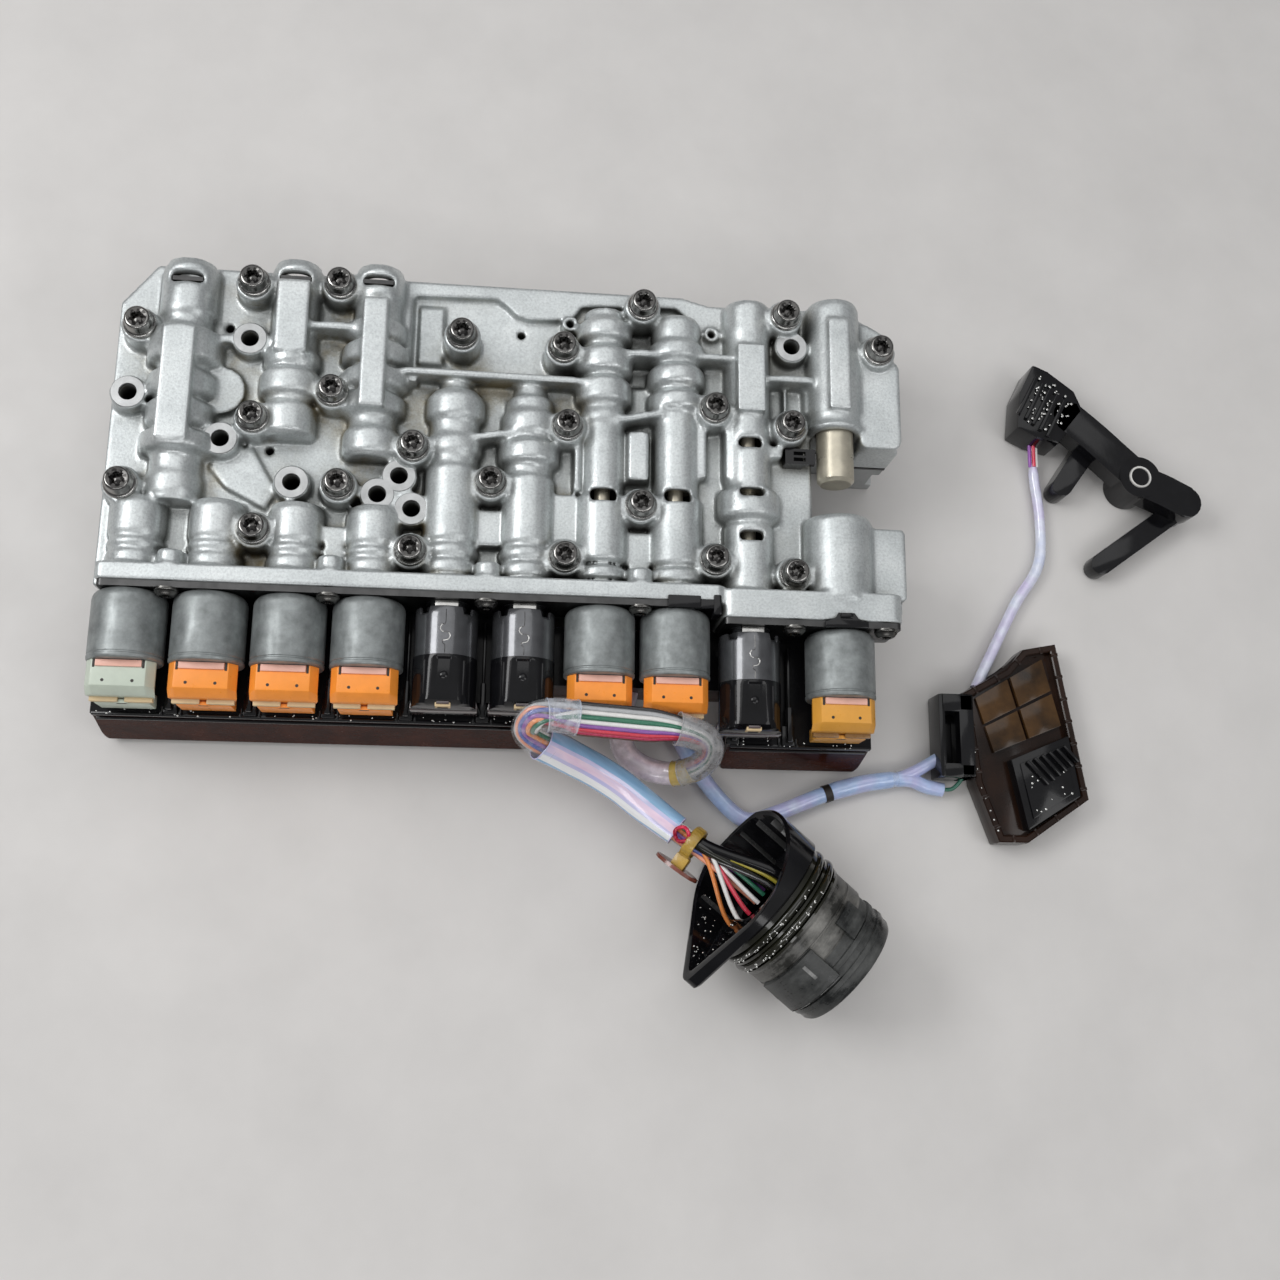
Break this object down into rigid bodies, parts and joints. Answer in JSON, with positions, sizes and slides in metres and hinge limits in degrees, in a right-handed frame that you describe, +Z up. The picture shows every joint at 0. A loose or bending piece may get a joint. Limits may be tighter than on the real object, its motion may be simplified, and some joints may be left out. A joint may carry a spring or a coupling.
{
  "type": "transmission valve body",
  "caption": "Cast transmission valve body with raised spool bores, a row of solenoids on its front flange, a conductor tray, and a wiring harness with a round plug and sensors.",
  "frame": {"origin": "middle of the body's footprint on the gearbox face, harness left out", "axes": "+X along the solenoid flange, +Y away from the solenoids, +Z up from the gearbox face"},
  "size_m": [0.467, 0.2962, 0.0651],
  "materials": {
    "cast_aluminium": "satin",
    "lower_casting": "satin",
    "plate_steel": "satin",
    "dark_steel": "satin",
    "can_steel": "satin",
    "ground_metal": "gloss",
    "orange_plastic": "gloss",
    "pale_plastic": "satin",
    "amber_plastic": "gloss",
    "black_plastic": "gloss",
    "tray_plastic": "gloss",
    "grey_plastic": "matte",
    "brown_plastic": "gloss",
    "clear_sleeve": "gloss",
    "seal_rubber": "matte"
  },
  "bodies": {
    "housing": {"upper_housing": "cast_aluminium", "separator_plate": "plate_steel", "lower_housing": "lower_casting", "housing_bolts": "dark_steel", "retainer_plate_left": "plate_steel", "retainer_plate_right": "plate_steel", "retainer_screws": "dark_steel", "solenoid_can_1": "can_steel", "solenoid_can_2": "can_steel", "solenoid_can_3": "can_steel", "solenoid_can_4": "can_steel", "solenoid_can_5": "can_steel", "solenoid_can_6": "can_steel", "solenoid_can_7": "can_steel", "solenoid_can_8": "can_steel", "solenoid_can_9": "can_steel", "solenoid_can_10": "can_steel", "solenoid_cap_1": "pale_plastic", "solenoid_cap_2": "orange_plastic", "solenoid_cap_3": "orange_plastic", "solenoid_cap_4": "orange_plastic", "solenoid_cap_5": "black_plastic", "solenoid_cap_6": "black_plastic", "solenoid_cap_7": "orange_plastic", "solenoid_cap_8": "orange_plastic", "solenoid_cap_9": "black_plastic", "solenoid_cap_10": "amber_plastic", "bore_plugs": "ground_metal", "plug_retainers": "dark_steel", "selector_clip": "black_plastic", "conductor_tray": "tray_plastic", "spring_1": "dark_steel", "spring_2": "dark_steel", "spring_3": "dark_steel", "spring_4": "dark_steel", "spring_5": "dark_steel", "spring_6": "dark_steel", "spring_7": "dark_steel", "spring_8": "dark_steel", "loom": "clear_sleeve", "branch_sleeve": "clear_sleeve", "sensor_lead": "clear_sleeve", "cable_tie": "amber_plastic", "connector_guard": "black_plastic", "connector_shell": "grey_plastic", "connector_seals": "seal_rubber", "connector_insert": "black_plastic", "position_sensor": "brown_plastic", "position_sensor_cover": "amber_plastic", "speed_sensor": "tray_plastic", "speed_sensor_bush": "ground_metal"},
    "spool_1": {"spool_1": "ground_metal"},
    "spool_2": {"spool_2": "ground_metal"},
    "spool_3": {"spool_3": "ground_metal"},
    "spool_4": {"spool_4": "ground_metal"},
    "spool_5": {"spool_5": "ground_metal"},
    "spool_6": {"spool_6": "ground_metal"},
    "spool_7": {"spool_7": "ground_metal"},
    "spool_8": {"spool_8": "ground_metal"},
    "manual_valve": {"manual_valve": "ground_metal"}
  },
  "joints": [
    {"name": "spool_1_slide", "type": "slide", "parent": "housing", "child": "spool_1", "axis": [0, 1, 0], "range_m": [0, 0.006], "stiffness_N_per_m": 500, "springref_m": -0.004, "deforming": ["spring_1"]},
    {"name": "spool_2_slide", "type": "slide", "parent": "housing", "child": "spool_2", "axis": [0, 1, 0], "range_m": [0, 0.006], "stiffness_N_per_m": 500, "springref_m": -0.004, "deforming": ["spring_2"]},
    {"name": "spool_3_slide", "type": "slide", "parent": "housing", "child": "spool_3", "axis": [0, 1, 0], "range_m": [0, 0.006], "stiffness_N_per_m": 500, "springref_m": -0.004, "deforming": ["spring_3"]},
    {"name": "spool_4_slide", "type": "slide", "parent": "housing", "child": "spool_4", "axis": [0, 1, 0], "range_m": [0, 0.006], "stiffness_N_per_m": 500, "springref_m": -0.004, "deforming": ["spring_4"]},
    {"name": "spool_5_slide", "type": "slide", "parent": "housing", "child": "spool_5", "axis": [0, 1, 0], "range_m": [0, 0.006], "stiffness_N_per_m": 500, "springref_m": -0.004, "deforming": ["spring_5"]},
    {"name": "spool_6_slide", "type": "slide", "parent": "housing", "child": "spool_6", "axis": [0, 1, 0], "range_m": [0, 0.006], "stiffness_N_per_m": 500, "springref_m": -0.004, "deforming": ["spring_6"]},
    {"name": "spool_7_slide", "type": "slide", "parent": "housing", "child": "spool_7", "axis": [0, 1, 0], "range_m": [0, 0.006], "stiffness_N_per_m": 500, "springref_m": -0.004, "deforming": ["spring_7"]},
    {"name": "spool_8_slide", "type": "slide", "parent": "housing", "child": "spool_8", "axis": [0, 1, 0], "range_m": [0, 0.006], "stiffness_N_per_m": 500, "springref_m": -0.004, "deforming": ["spring_8"]},
    {"name": "manual_valve_slide", "type": "slide", "parent": "housing", "child": "manual_valve", "axis": [0, 1, 0], "range_m": [-0.008, 0.008]}
  ]
}
